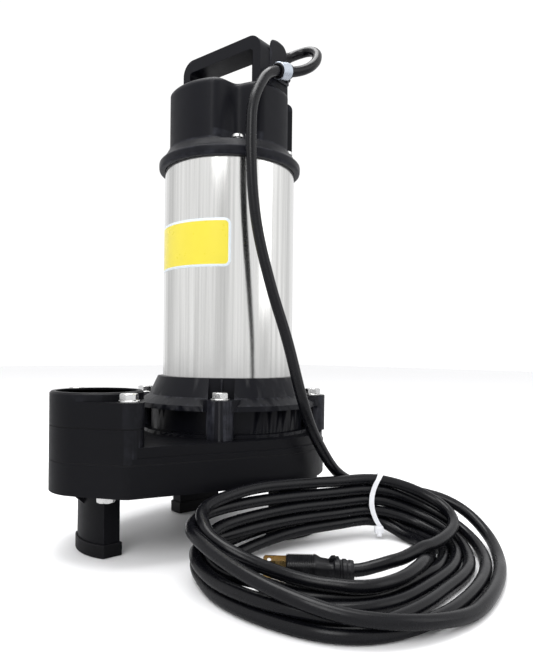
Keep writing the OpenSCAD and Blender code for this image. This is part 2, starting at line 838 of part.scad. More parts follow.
module thermal_protector() {
    color("#e8e4d6") at_head() translate([39.5, -7, core_z + core_len + 20]) cube([8, 14, 6]);
}

// ---- Cord and plug -------------------------------------------------------------------

module cord_lead() { color("#15151a") tube(smooth(lead_route, 2), cord_d / 2, 10, [0, 0, 1]); }
module cord_tail() { color("#15151a") tube(smooth(tail_route, 2), cord_d / 2, 10, [0, 0, 1]); }

module at_coil() { translate([coil_at.x, coil_at.y, 0]) rotate([0, 0, coil_turn]) children(); }

module oval(start, r) { linked([-start, 0], r, [coil_half, 0], r); }

module cord_coil() {
    color("#15151a") at_coil() slab(coil_base, coil_z) difference() {
        oval(coil_half, coil_r);
        oval(coil_half + opening_shift, opening_r);
    }
}

module cord_tie() {
    t = 1.5;
    wide = 5;
    color("#ecedf0") at_coil() translate([coil_half, 0, 0]) rotate([0, 0, tie_angle]) {
        difference() {
            translate([opening_r - t, -wide / 2, 0]) cube([coil_r - opening_r + 2 * t, wide, coil_z + t]);
            translate([opening_r, -wide, coil_base]) cube([coil_r - opening_r, 2 * wide, coil_z - coil_base]);
        }
        translate([opening_r - t - 5, -4, 0]) cube([5, 8, 9]);
    }
}

module at_plug() { translate(plug_at) rotate([0, 0, plug_turn]) children(); }

module plug_body() {
    color("#141417") at_plug() {
        translate([0, 0, -10.3]) linear_extrude(21) polygon([
            [-plug_half, -12], [-6, -13.5], [8, -12], [plug_half, -10.5],
            [plug_half, 10.5], [8, 12], [-6, 13.5], [-plug_half, 12]
        ]);
    }
}

module plug_blades() {
    reach = 17;
    color("#c9a24b") at_plug() translate([-plug_half - reach, 0, 0]) {
        for (y = [-6.35, 6.35]) translate([0, y - 0.75, 1]) cube([reach, 1.5, 6.3]);
        translate([0, 0, -5]) rotate([0, 90, 0]) cylinder(r = 2.4, h = reach);
    }
}

// ---- Nodes ---------------------------------------------------------------------------

leg_discharge();
leg_left();
leg_right();
boot_discharge();
boot_left();
boot_right();
casing_lower();
suction_plate();
suction_screws();
casing_bolts();
casing_gasket();
casing_upper();
discharge_gasket();
discharge_flange();
discharge_bolts();
motor_bracket();
bracket_bolts();
oil_plug();
seal_plate();
seal_seat();
seal_head();
seal_spring();
impeller();
impeller_washer();
impeller_nut();
shaft_key();
motor_shaft();
lower_bearing_outer();
lower_bearing_inner();
lower_bearing_balls();
upper_bearing_outer();
upper_bearing_inner();
upper_bearing_balls();
wave_washer();
upper_bearing_bracket();
rotor_core();
rotor_end_rings();
stator_core();
stator_windings();
motor_sleeve();
sleeve_oring_lower();
sleeve_oring_upper();
through_bolts();
label();
head_cover();
carry_handle();
handle_screws();
cord_housing();
cord_gland();
clip_band();
clip_liner();
clip_screw();
capacitor();
thermal_protector();
cord_lead();
cord_coil();
cord_tail();
cord_tie();
plug_body();
plug_blades();
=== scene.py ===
"""The looks of a submersible sump pump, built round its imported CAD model. Metres, row frame."""
import json
import math

import bmesh
import bpy
import numpy as np
from mathutils import Matrix, Vector


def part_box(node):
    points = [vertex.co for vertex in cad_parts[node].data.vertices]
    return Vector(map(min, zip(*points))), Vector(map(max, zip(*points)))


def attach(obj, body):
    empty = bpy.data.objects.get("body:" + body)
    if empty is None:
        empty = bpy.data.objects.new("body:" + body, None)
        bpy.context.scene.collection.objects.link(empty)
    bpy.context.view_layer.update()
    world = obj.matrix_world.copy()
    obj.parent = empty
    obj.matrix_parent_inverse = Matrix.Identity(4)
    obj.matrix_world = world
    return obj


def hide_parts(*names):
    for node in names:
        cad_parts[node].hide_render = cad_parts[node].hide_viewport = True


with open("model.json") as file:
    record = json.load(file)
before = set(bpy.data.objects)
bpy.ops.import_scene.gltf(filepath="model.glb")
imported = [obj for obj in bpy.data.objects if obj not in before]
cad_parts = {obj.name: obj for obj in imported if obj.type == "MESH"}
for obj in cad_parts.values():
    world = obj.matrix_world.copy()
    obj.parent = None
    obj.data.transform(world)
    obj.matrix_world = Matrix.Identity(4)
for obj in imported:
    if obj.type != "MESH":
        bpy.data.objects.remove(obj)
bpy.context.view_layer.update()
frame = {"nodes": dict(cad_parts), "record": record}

NODES = frame["nodes"]
MM = 0.001
SCENE = bpy.context.scene

# ---- Places taken from the CAD -------------------------------------------------------------

# Shapes made here are written in millimetres, as in the CAD source, and mesh_from turns them to metres.
sleeve_low, sleeve_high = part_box("motor_sleeve")
MOTOR_X = (sleeve_low.x + sleeve_high.x) / 2 / MM
SLEEVE_R = round((sleeve_high.x - sleeve_low.x) / 2 / MM, 1)
HEAD_TURN = math.radians(10)                    # the head cover's turn about the motor
SLOT_OF = {s["node"]: s["material_slot"] for s in frame["record"]["subparts"]}
BODY_OF = {n: b for b, ns in frame["record"]["behaviour"]["bodies"].items() for n in ns}


# ---- Camera, floor and light ---------------------------------------------------------------

def make_camera():
    data = bpy.data.cameras.new("camera")
    data.sensor_width = 36
    data.lens = 32.18
    data.shift_y = 0.0348
    data.clip_end = 20
    camera = bpy.data.objects.new("camera", data)
    SCENE.collection.objects.link(camera)
    camera.location = (-0.322, -0.470, 0.169)
    level = Vector((0.661, 0.750, 0)).to_track_quat("-Z", "Y")
    camera.rotation_mode = "QUATERNION"
    camera.rotation_quaternion = level @ Matrix.Rotation(math.radians(0.636), 4, "Z").to_quaternion()
    SCENE.camera = camera


def nodes_of(tree):
    tree.nodes.clear()

    def add(kind, **sockets):
        node = tree.nodes.new(kind)
        for key, value in sockets.items():
            if key in node.bl_rna.properties:
                setattr(node, key, value)
            else:
                node.inputs[key.replace("_", " ")].default_value = value
        return node

    return add, tree.links.new


def make_world():
    """Plain white, but in reflections a bright room with softly darker upright bands."""
    world = bpy.data.worlds.new("studio")
    SCENE.world = world
    world.use_nodes = True
    add, link = nodes_of(world.node_tree)
    where = add("ShaderNodeTexCoord")
    split = add("ShaderNodeSeparateXYZ")
    link(where.outputs["Generated"], split.inputs[0])
    angle = add("ShaderNodeMath", operation="ARCTAN2")
    link(split.outputs["Y"], angle.inputs[0])
    link(split.outputs["X"], angle.inputs[1])
    turn = add("ShaderNodeMapRange")
    turn.inputs["From Min"].default_value = -math.pi
    turn.inputs["From Max"].default_value = math.pi
    link(angle.outputs[0], turn.inputs["Value"])
    bands = add("ShaderNodeValToRGB")
    ramp = bands.color_ramp
    stops = [(0.0, 0.90), (0.06, 1.0), (0.12, 0.60), (0.17, 1.0), (0.24, 1.0), (0.30, 0.80), (0.335, 0.60),
             (0.37, 1.0), (0.44, 1.0), (0.50, 0.78), (0.56, 1.0), (0.64, 0.72), (0.72, 1.0), (0.80, 0.65),
             (0.88, 1.0), (1.0, 0.90)]
    while len(ramp.elements) < len(stops):
        ramp.elements.new(0.5)
    for element, (place, grey) in zip(ramp.elements, stops):
        element.position = place
        element.color = (grey, grey, grey * 1.01, 1)
    link(turn.outputs[0], bands.inputs[0])
    room = add("ShaderNodeBackground", Strength=1.0)
    link(bands.outputs[0], room.inputs["Color"])
    white = add("ShaderNodeBackground", Color=(1, 1, 1, 1), Strength=1.05)
    path = add("ShaderNodeLightPath")
    mix = add("ShaderNodeMixShader")
    link(path.outputs["Is Glossy Ray"], mix.inputs[0])
    link(white.outputs[0], mix.inputs[1])
    link(room.outputs[0], mix.inputs[2])
    out = add("ShaderNodeOutputWorld")
    link(mix.outputs[0], out.inputs[0])


def area_light(name, place, target, size, power):
    data = bpy.data.lights.new(name, "AREA")
    data.shape = "RECTANGLE"
    data.size, data.size_y = size
    data.energy = power
    light = bpy.data.objects.new(name, data)
    SCENE.collection.objects.link(light)
    light.location = place
    light.rotation_euler = (Vector(target) - Vector(place)).to_track_quat("-Z", "Y").to_euler()


def make_floor(material):
    """A white floor, greyer in reflections, so that the steel keeps its drawn grain from above."""
    tree = material.node_tree
    shader = next(n for n in tree.nodes if n.type == "BSDF_PRINCIPLED")
    path = tree.nodes.new("ShaderNodeLightPath")
    seen = tree.nodes.new("ShaderNodeMixRGB")
    seen.inputs[2].default_value = (0.45, 0.45, 0.46, 1)
    tree.links.new(path.outputs["Is Glossy Ray"], seen.inputs[0])
    tree.links.new(shader.inputs["Base Color"].links[0].from_socket, seen.inputs[1])
    tree.links.new(seen.outputs[0], shader.inputs["Base Color"])
    bpy.ops.mesh.primitive_plane_add(size=12, location=(0, 0, -0.0004))
    floor = bpy.context.object
    floor.name = "floor"
    floor.data.materials.append(material)


# ---- Materials -----------------------------------------------------------------------------

def surface(name, base, rough, metallic=0.0, grain=900.0, bump=0.12, depth=0.0002, spread=0.08,
            tint=0.25, wear=0.0, wear_color=(0.2, 0.2, 0.21), stretch=(1, 1, 1), coat=0.0, specular=0.5,
            blotch=14.0, streak=0.0):
    """A moulded, cast, drawn or ground surface: grain in the bump, drift in the colour and the roughness,
    handling marks in the roughness, and paler worn edges where the mesh has its edge attribute."""
    material = bpy.data.materials.new(name)
    material.use_nodes = True
    add, link = nodes_of(material.node_tree)
    out = add("ShaderNodeOutputMaterial")
    shader = add("ShaderNodeBsdfPrincipled", Metallic=metallic)
    shader.inputs["Specular IOR Level"].default_value = specular
    shader.inputs["Coat Weight"].default_value = coat
    shader.inputs["Coat Roughness"].default_value = 0.25
    link(shader.outputs[0], out.inputs[0])
    where = add("ShaderNodeTexCoord")
    along = add("ShaderNodeMapping")
    along.inputs["Scale"].default_value = stretch
    link(where.outputs["Object"], along.inputs[0])

    def noise(scale, detail, source):
        node = add("ShaderNodeTexNoise", Scale=scale, Detail=detail, Roughness=0.6)
        link(source, node.inputs["Vector"])
        return node.outputs["Fac"]

    def remap(value, low, high, new_low, new_high):
        node = add("ShaderNodeMapRange")
        for key, number in (("From Min", low), ("From Max", high), ("To Min", new_low), ("To Max", new_high)):
            node.inputs[key].default_value = number
        link(value, node.inputs["Value"])
        return node.outputs[0]

    fine = noise(grain, 3, along.outputs[0])
    broad = noise(blotch, 4, where.outputs["Object"])
    marks = noise(blotch * 9, 5, along.outputs[0])
    # colour drift
    drift = add("ShaderNodeMixRGB")
    drift.inputs[1].default_value = tuple(c * (1 - tint) for c in base) + (1,)
    drift.inputs[2].default_value = tuple(min(1.0, c * (1 + tint)) for c in base) + (1,)
    link(broad, drift.inputs[0])
    color = drift.outputs[0]
    if streak:
        lines = add("ShaderNodeMixRGB", blend_type="MULTIPLY")
        lines.inputs[0].default_value = 1.0
        link(color, lines.inputs[1])
        grey = add("ShaderNodeCombineColor")
        level = remap(fine, 0.25, 0.75, 1 - streak, 1.0)
        for k in range(3):
            link(level, grey.inputs[k])
        link(grey.outputs[0], lines.inputs[2])
        color = lines.outputs[0]
    if wear:
        edge = add("ShaderNodeAttribute", attribute_name="edge_wear")
        worn = add("ShaderNodeMath", operation="MULTIPLY")
        link(edge.outputs["Fac"], worn.inputs[0])
        link(remap(marks, 0.42, 0.72, 0.15, 1.0), worn.inputs[1])
        amount = add("ShaderNodeMath", operation="MULTIPLY")
        link(worn.outputs[0], amount.inputs[0])
        amount.inputs[1].default_value = wear
        rub = add("ShaderNodeMixRGB")
        rub.inputs[2].default_value = tuple(wear_color) + (1,)
        link(amount.outputs[0], rub.inputs[0])
        link(color, rub.inputs[1])
        color = rub.outputs[0]
    link(color, shader.inputs["Base Color"])
    roughness = add("ShaderNodeMath", operation="ADD")
    link(remap(marks, 0.3, 0.7, -spread * 0.5, spread * 0.5), roughness.inputs[0])
    link(remap(broad, 0.3, 0.7, rough - spread * 0.5, rough + spread * 0.5), roughness.inputs[1])
    link(roughness.outputs[0], shader.inputs["Roughness"])
    relief = add("ShaderNodeBump", Strength=bump, Distance=depth)
    link(fine, relief.inputs["Height"])
    link(relief.outputs[0], shader.inputs["Normal"])
    return material


def make_materials():
    """One material for each slot, and two more: dark steel for the clip's tab, where the dark is painted
    shade on a strap that is zinc all through, and the label's border.
    """
    near_black = (0.0035, 0.0035, 0.0045)
    looks = {
        "casing_plastic": dict(base=(0.0032, 0.0033, 0.0046), rough=0.42, grain=1400, bump=0.35, wear=0.45,
                               wear_color=(0.035, 0.036, 0.046), specular=0.12),
        "cover_plastic": dict(base=(0.0042, 0.0044, 0.0066), rough=0.40, grain=1400, bump=0.30, wear=0.45,
                              wear_color=(0.045, 0.047, 0.060), specular=0.13),
        "plate_plastic": dict(base=(0.012, 0.012, 0.014), rough=0.45, bump=0.3, specular=0.2),
        "boot_rubber": dict(base=near_black, rough=0.5, grain=1100, bump=0.4, wear=0.3,
                            wear_color=(0.03, 0.03, 0.035), specular=0.15),
        "seal_rubber": dict(base=(0.004, 0.004, 0.005), rough=0.5, bump=0.3, specular=0.2),
        "cord_rubber": dict(base=(0.0025, 0.0026, 0.0038), rough=0.27, bump=0.10, depth=0.00005,
                            spread=0.10, specular=0.24, blotch=22),
        "plug_rubber": dict(base=near_black, rough=0.36, grain=1500, bump=0.35, wear=0.25,
                            wear_color=(0.04, 0.04, 0.045), specular=0.25),
        "stainless_sleeve": dict(base=(0.88, 0.88, 0.86), rough=0.17, metallic=1.0, grain=300,
                                 stretch=(1, 1, 0.012), bump=0.14, depth=0.0003, spread=0.06, tint=0.03,
                                 blotch=5, streak=0.30),
        "bolt_steel": dict(base=(0.78, 0.78, 0.77), rough=0.27, metallic=1.0, grain=700, bump=0.2, tint=0.1,
                           wear=0.3, wear_color=(0.85, 0.85, 0.84)),
        "zinc_steel": dict(base=(0.60, 0.66, 0.74), rough=0.30, metallic=1.0, grain=420, bump=0.15,
                           tint=0.08, spread=0.12, blotch=60),
        # dark_steel is also laid on the clip's zinc tab as painted shade, standing for the shadow behind the
        # clip
        "dark_steel": dict(base=(0.035, 0.035, 0.04), rough=0.38, metallic=0.7, wear=0.5,
                           wear_color=(0.3, 0.3, 0.3)),
        "bearing_steel": dict(base=(0.62, 0.62, 0.63), rough=0.18, metallic=1.0, grain=500,
                              stretch=(1, 1, 8), tint=0.06),
        "core_steel": dict(base=(0.25, 0.25, 0.27), rough=0.42, metallic=0.9, grain=800,
                           stretch=(0.02, 0.02, 1), bump=0.6, depth=0.0005),
        "cast_aluminium": dict(base=(0.56, 0.56, 0.56), rough=0.45, metallic=1.0, grain=500, bump=0.5),
        "copper_winding": dict(base=(0.50, 0.20, 0.07), rough=0.3, metallic=0.8, grain=260,
                               stretch=(1, 1, 5), bump=0.8, depth=0.0008, coat=0.5),
        "ceramic": dict(base=(0.60, 0.60, 0.60), rough=0.2, bump=0.1, tint=0.05),
        "seal_metal": dict(base=(0.10, 0.10, 0.11), rough=0.3, metallic=0.8),
        "brass": dict(base=(0.66, 0.46, 0.19), rough=0.28, metallic=1.0, grain=600, stretch=(0.1, 1, 1),
                      bump=0.2, tint=0.1),
        "label_film": dict(base=(0.66, 0.56, 0.03), rough=0.30, grain=500, bump=0.08, tint=0.04, coat=0.3),
        "label_border": dict(base=(0.60, 0.66, 0.70), rough=0.30, grain=500, bump=0.08, tint=0.03, coat=0.3),
        "tie_nylon": dict(base=(0.78, 0.79, 0.82), rough=0.38, grain=600, bump=0.15, tint=0.04),
        "capacitor_shell": dict(base=(0.06, 0.14, 0.30), rough=0.3, bump=0.1, coat=0.3),
        "protector_shell": dict(base=(0.72, 0.69, 0.60), rough=0.4, bump=0.15, tint=0.06),
        "floor": dict(base=(0.92, 0.92, 0.93), rough=0.55, bump=0.02, tint=0.004, blotch=2, specular=0.3),
    }
    return {name: surface(name, **look) for name, look in looks.items()}


# ---- Mesh helpers --------------------------------------------------------------------------

def mark_edges(mesh, widest=1.3 * MM):
    """Marks the narrow faces that round an edge off, which the materials show as worn."""
    bm = bmesh.new()
    bm.from_mesh(mesh)
    worn = np.zeros(len(bm.faces), np.float32)
    for face in bm.faces:
        width = 2 * face.calc_area() / max(face.calc_perimeter(), 1e-9)
        bend = max((e.calc_face_angle(0.0) for e in face.edges if len(e.link_faces) == 2), default=0.0)
        if width < widest:
            worn[face.index] = min(1.0, max(0.0, (bend - 0.12) / 0.4))
    bm.free()
    layer = mesh.attributes.get("edge_wear") or mesh.attributes.new("edge_wear", "FLOAT", "FACE")
    layer.data.foreach_set("value", worn)


def new_piece(name, mesh, material, body="pump", replaces=()):
    piece = bpy.data.objects.new(name, mesh)
    SCENE.collection.objects.link(piece)
    mesh.materials.clear()
    mesh.materials.append(material)
    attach(piece, body)
    if replaces:
        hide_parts(*replaces)
    return piece


def apply_modifiers(piece):
    graph = bpy.context.evaluated_depsgraph_get()
    mesh = bpy.data.meshes.new_from_object(piece.evaluated_get(graph))
    piece.modifiers.clear()
    old, piece.data = piece.data, mesh
    bpy.data.meshes.remove(old)


def rounded_copy(node, width, segments, materials):
    """Stands for a CAD node whose moulded edges are rounded: the same solid with bevelled edges."""
    source = NODES[node].data
    bm = bmesh.new()
    bm.from_mesh(source)
    bmesh.ops.remove_doubles(bm, verts=bm.verts, dist=2e-6)
    bmesh.ops.dissolve_limit(bm, angle_limit=math.radians(0.6), verts=bm.verts, edges=bm.edges)
    mesh = bpy.data.meshes.new(node + "_rounded")
    bm.to_mesh(mesh)
    bm.free()
    slot = SLOT_OF[node]
    piece = new_piece(node + "_rounded", mesh, materials[slot], BODY_OF[node], (node,))
    bevel = piece.modifiers.new("bevel", "BEVEL")
    bevel.width = width
    bevel.segments = segments
    bevel.limit_method = "ANGLE"
    bevel.angle_limit = math.radians(28)
    bevel.use_clamp_overlap = True
    bevel.miter_outer = "MITER_ARC"
    apply_modifiers(piece)
    mark_edges(piece.data)
    smooth_faces(piece)
    return piece


def smooth_faces(piece, angle=32):
    """Smooth shading, split where the surface really turns, with flat areas kept flat."""
    mesh = piece.data
    for p in mesh.polygons:
        p.use_smooth = True
    mesh.set_sharp_from_angle(angle=math.radians(angle))
    weight = piece.modifiers.new("weight", "WEIGHTED_NORMAL")
    weight.keep_sharp = True
    apply_modifiers(piece)


# ---- Cord ----------------------------------------------------------------------------------

CORD_D = 9.6
STEP = 5.0                                      # between the points that settle
CLEAR_OF_CASING = 101.2                         # nearest that the cord's middle comes to the motor's axis
CASING_HEIGHTS = (49, 99)                       # where that holds
LEG_SIDES, LEG_TOP, LEG_FRONT = (33, 97), 60, -92.5     # the cord stays in front of this leg

# The route's points: the lead from the gland through the clip to the coil, then each turn of the coil, and
# the tail back to the plug. The turns are all different, and they settle on each other below.
LEAD = [
    (72.6, -31, 460.4), (81.3, -29.4, 465.1), (90, -28.3, 470), (99, -30, 475.5), (106.5, -36.5, 479),
    (109, -46, 477.5), (107, -55, 470), (100, -60.5, 459), (90, -62, 449.5), (79, -60.5, 443),
    (68, -58.5, 439), (58, -59.5, 436), (46, -61.5, 432), (33, -63.5, 424), (22, -66, 409),
    (12, -69, 388), (8, -72, 362), (7, -74, 335), (8, -76, 305), (11, -80, 272), (17, -91, 225),
    (24, -104, 180), (30, -116, 132), (44, -114, 105), (59, -110.5, 87), (72, -108.5, 73), (88, -107.5, 59),
    (103, -112, 50),
]
TURNS = [
    [(119, -119, 45), (148, -141, 42), (166, -166, 37), (172, -187, 28), (164, -213, 14), (138, -236, 7),
     (103, -255, 5), (62, -270, 5), (27, -277, 6), (-5, -275, 10), (-32, -267, 14), (-60, -246, 18),
     (-80, -204, 26), (-86, -160, 34), (-84, -128, 41), (-62, -98, 45), (-15, -97, 47), (30, -103, 46.5),
     (75, -114, 45.5)],
    [(119, -128, 45), (148, -150, 32), (158, -186, 18), (143, -217, 8), (109, -241, 5), (80, -253, 5),
     (45, -262, 5), (10, -266, 5), (-38, -259, 5), (-61, -242, 5), (-78, -206, 5), (-84, -165, 5),
     (-78, -130, 7), (-62, -96, 13), (-15, -91, 19), (30, -93.8, 22), (75, -104, 24)],
    [(119, -118, 25), (136, -153, 12), (130, -185, 5), (112, -203, 5), (88, -212, 5), (60, -218, 5),
     (28, -222, 5), (-3, -219, 5), (-28, -200, 5), (-45, -180, 8), (-58, -165, 14), (-70, -145, 15),
     (-70, -122, 20), (-55, -100, 28), (-15, -97, 34), (30, -103, 36.5), (75, -114, 36)],
    [(119, -128, 35.5), (143, -152, 24), (148, -185, 13), (130, -212, 7), (100, -232, 5), (75, -240, 5),
     (45, -245, 5), (10, -250, 5), (-35, -247, 5), (-58, -235, 11), (-77, -205, 14.5), (-84, -165, 15),
     (-80, -128, 18), (-60, -98, 23), (-15, -97, 25), (30, -103, 26.5), (75, -114, 26.5)],
    [(119, -128, 26), (140, -156, 15), (138, -186, 10), (125, -205, 8), (95, -222, 6), (70, -229, 5),
     (35, -234, 5), (0, -235, 5), (-30, -223, 5), (-50, -203, 5), (-62, -180, 5), (-70, -155, 5),
     (-68, -130, 5), (-52, -106, 5), (-15, -97, 9), (30, -103, 15.5), (75, -114, 17)],
    [(119, -128, 16.5), (128, -155, 6), (118, -180, 5), (97, -200, 7), (74, -213, 11), (49, -221, 14),
     (20, -226, 14.4), (-12, -220, 14.4), (-31, -198, 15), (-45, -180, 19), (-58, -168, 25),
     (-72, -148, 34), (-76, -120, 44), (-62, -102, 50), (-15, -98, 58), (30, -103, 57.5), (75, -114, 55.5)],
]
TAIL = [
    (100, -121, 54), (122, -131, 53), (138, -147, 48), (150, -166, 39), (151, -181, 32), (140, -195, 26),
    (121, -203, 23), (100, -207.5, 21.5), (69, -209, 19.5), (44, -205, 16), (29, -198.5, 13),
    (20.5, -193, 10.6), (14.5, -187.3, 9.6), (9, -182, 9.4),
]
HELD_TO = LEAD[25]                              # the lead doesn't settle before this point


def through(points, step):
    """Points a step apart on a smooth curve through the given ones (centripetal Catmull-Rom)."""
    p = np.array(points, float)
    p = np.vstack([2 * p[0] - p[1], p, 2 * p[-1] - p[-2]])
    fine = []
    for a, b, c, d in zip(p, p[1:], p[2:], p[3:]):
        t = np.cumsum([0] + [np.linalg.norm(y - x) ** 0.5 for x, y in ((a, b), (b, c), (c, d))])
        for s in np.linspace(t[1], t[2], 16, endpoint=False):
            ab = (t[1] - s) / (t[1] - t[0]) * a + (s - t[0]) / (t[1] - t[0]) * b
            bc = (t[2] - s) / (t[2] - t[1]) * b + (s - t[1]) / (t[2] - t[1]) * c
            cd = (t[3] - s) / (t[3] - t[2]) * c + (s - t[2]) / (t[3] - t[2]) * d
            abc = (t[2] - s) / (t[2] - t[0]) * ab + (s - t[0]) / (t[2] - t[0]) * bc
            bcd = (t[3] - s) / (t[3] - t[1]) * bc + (s - t[1]) / (t[3] - t[1]) * cd
            fine.append((t[2] - s) / (t[2] - t[1]) * abc + (s - t[1]) / (t[2] - t[1]) * bcd)
    fine.append(p[-2])
    return spaced(np.array(fine), step)


def spaced(line, step):
    along = np.concatenate([[0], np.cumsum(np.linalg.norm(np.diff(line, axis=0), axis=1))])
    at = np.linspace(0, along[-1], int(round(along[-1] / step)) + 1)
    return np.stack([np.interp(at, along, line[:, k]) for k in range(3)], axis=1)


def settle(line, held_start, held_end, rounds=260):
    """Lets the coil lie down: it stays near its plan, bends smoothly, and each turn rests on the floor
    or on the turns under it, a diameter apart, clear of the casing and the leg."""
    start = line.copy()
    n = len(line)
    free = np.ones(n, bool)
    free[:held_start] = free[n - held_end:] = False
    apart = CORD_D * 1.01
    skip = int(30 / STEP)
    axis = np.array([MOTOR_X, 0.0])
    for k in range(rounds):
        if k % 8 == 0:
            gap = line[:, None, :] - line[None, :, :]
            near = (gap ** 2).sum(2) < (apart + 8) ** 2
            i, j = np.nonzero(np.triu(near, skip))
        mid = (line[:-2] + line[2:]) / 2
        line[1:-1] += 0.5 * (mid - line[1:-1])
        line += 0.12 * (start - line)
        line[:, 2] -= 0.15
        for _ in range(4):
            d = line[i] - line[j]
            far = np.maximum(np.linalg.norm(d, axis=1), 1e-6)
            push = np.maximum(apart - far, 0)[:, None] * d / far[:, None] * 0.45
            hits = np.zeros((n, 1))
            move = np.zeros_like(line)
            np.add.at(move, i, push)
            np.add.at(move, j, -push)
            np.add.at(hits, i[far < apart], 1.0)
            np.add.at(hits, j[far < apart], 1.0)
            line += move / np.maximum(hits * 0.75, 1.0)
            line[:, 2] = np.maximum(line[:, 2], CORD_D / 2)
            out = line[:, :2] - axis
            far = np.linalg.norm(out, axis=1)
            level = (line[:, 2] > CASING_HEIGHTS[0]) & (line[:, 2] < CASING_HEIGHTS[1])
            inside = (far < CLEAR_OF_CASING) & level
            line[inside, :2] = axis + out[inside] / far[inside, None] * CLEAR_OF_CASING
            beside = (line[:, 0] > LEG_SIDES[0]) & (line[:, 0] < LEG_SIDES[1]) & (line[:, 2] < LEG_TOP)
            line[beside, 1] = np.minimum(line[beside, 1], LEG_FRONT)
            line[~free] = start[~free]
    return line


def make_cord(material):
    route = through(LEAD + [p for turn in TURNS for p in turn] + TAIL, STEP)
    held = int(np.argmin(np.linalg.norm(route - np.array(HELD_TO), axis=1)))
    line = settle(route, held, 8)
    # one smooth curve, with a point every 12 mm
    keep = spaced(line, 12.0)
    curve = bpy.data.curves.new("power_cord", "CURVE")
    curve.dimensions = "3D"
    curve.bevel_depth = CORD_D / 2 * MM
    curve.bevel_resolution = 6
    curve.resolution_u = 5
    curve.use_fill_caps = True
    spline = curve.splines.new("BEZIER")
    spline.bezier_points.add(len(keep) - 1)
    for point, place in zip(spline.bezier_points, keep):
        point.co = Vector(place) * MM
        point.handle_left_type = point.handle_right_type = "AUTO"
    cord = bpy.data.objects.new("power_cord", curve)
    SCENE.collection.objects.link(cord)
    curve.materials.append(material)
    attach(cord, "pump")
    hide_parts("cord_lead", "cord_coil", "cord_tail")
    return cord, line


# ---- Pieces made in mesh code --------------------------------------------------------------

def mesh_from(name, points, faces):
    mesh = bpy.data.meshes.new(name)
    mesh.from_pydata([tuple(c * MM for c in p) for p in points], [], faces)
    mesh.validate()
    bm = bmesh.new()
    bm.from_mesh(mesh)
    bmesh.ops.recalc_face_normals(bm, faces=bm.faces)
    bm.to_mesh(mesh)
    bm.free()
    return mesh


def grid_faces(rows, count, first=0, closed=False):
    """Quads between rings of points that follow each other."""
    faces = []
    for r in range(rows if closed else rows - 1):
        a, b = first + r * count, first + ((r + 1) % rows) * count
        faces += [(a + k, a + (k + 1) % count, b + (k + 1) % count, b + k) for k in range(count)]
    return faces


def fan(first, count, middle):
    """Triangles that close a ring with the point in its middle."""
    return [(first + k, first + (k + 1) % count, middle) for k in range(count)]


def turned(name, levels, count=240, centre=(0, 0), turn=0.0):
    """A solid whose outline runs through the levels (radius, height); a radius may depend on the angle.
    A first or last level of radius 0 is a closed end; otherwise the outline closes on itself."""
    capped = levels[0][0] == 0
    rings = levels[1:-1] if capped else levels
    points = []
    for radius, z in rings:
        for k in range(count):
            a = 2 * math.pi * k / count
            r = radius(math.degrees(a)) if callable(radius) else radius
            points.append((centre[0] + r * math.cos(a + turn), centre[1] + r * math.sin(a + turn), z))
    faces = grid_faces(len(rings), count, closed=not capped)
    if capped:
        for z, start in ((levels[0][1], 0), (levels[-1][1], (len(rings) - 1) * count)):
            points.append((centre[0], centre[1], z))
            faces += fan(start, count, len(points) - 1)
    return mesh_from(name, points, faces)


def add_turned(name, node, levels, materials, sharp=32, **more):
    mesh = turned(name, levels, **more)
    slot = SLOT_OF[node]
    piece = new_piece(name, mesh, materials[slot], BODY_OF[node], (node,))
    mark_edges(piece.data)
    smooth_faces(piece, sharp)


# Each recess of the cover: its angle, depth and half width in degrees, and whether it fades out softly
RECESSES = ((-131, 14, 24, True), (-63, 10.6, 13, False), (63, 10.6, 13, False), (131, 14, 24, True))
COVER_R = 62


def cover_edge(angle):
    """The cover's radius at an angle in its own frame, with a recess over each through bolt."""
    depth = 0.0
    for middle, deep, half, soft in RECESSES:
        share = ((angle - middle + 180) % 360 - 180) / half
        if abs(share) < 1:
            form = (1 + math.cos(math.pi * share)) / 2 if soft else math.sqrt(1 - share * share)
            depth = max(depth, deep * form)
    return COVER_R - depth


def make_head_cover(materials):
    fillet = [(lambda a, t=t: cover_edge(a) - 7 + 7 * math.cos(t), 413 + 7 * math.sin(t))
              for t in np.linspace(0, math.pi / 2, 10)]
    spigot = [(0, 358.5), (51.4, 358.5), (52, 357.9), (52, 334), (62.7, 334), (62.7, 352)]
    ring = [(64.06, 352), (64.06, 346.9), (64.4, 346.3), (65.2, 346), (67.4, 346), (68.6, 346.3),
            (69.5, 347.2), (69.9, 348.4), (70, 350), (70, 352.6), (69.8, 353.6), (69.2, 354.4),
            (68.2, 355.2), (66.4, 357), (64.4, 359.8), (63, 362)]
    foot = [(lambda a: min(cover_edge(a) + 2.2, 62.6), 362.9),
            (lambda a: min(cover_edge(a) + 1.0, 62.2), 363.5)]
    side = [(cover_edge, z) for z in (365, 372, 400, 412)]
    top = [(lambda a: cover_edge(a) - 12, 420), (lambda a: (cover_edge(a) - 7) * 0.5, 420), (0, 420)]
    add_turned("head_cover_shell", "head_cover", spigot + ring + foot + side + fillet + top, materials,
               count=360, centre=(MOTOR_X, 0), turn=HEAD_TURN)


def make_sleeve(materials):
    bottom, top, wall = 140.3, 352, 1.2
    levels = [(SLEEVE_R, z) for z in (bottom, 150, 200, 250, 300, 345, top)]
    levels += [(SLEEVE_R - wall, top), (SLEEVE_R - wall, bottom)]
    add_turned("motor_sleeve_tube", "motor_sleeve", levels, materials, count=256, centre=(MOTOR_X, 0))


def hexagon(apothem, angle):
    """Distance from the middle of a hexagon to its edge."""
    return apothem / math.cos((angle + math.pi / 6) % (math.pi / 3) - math.pi / 6)


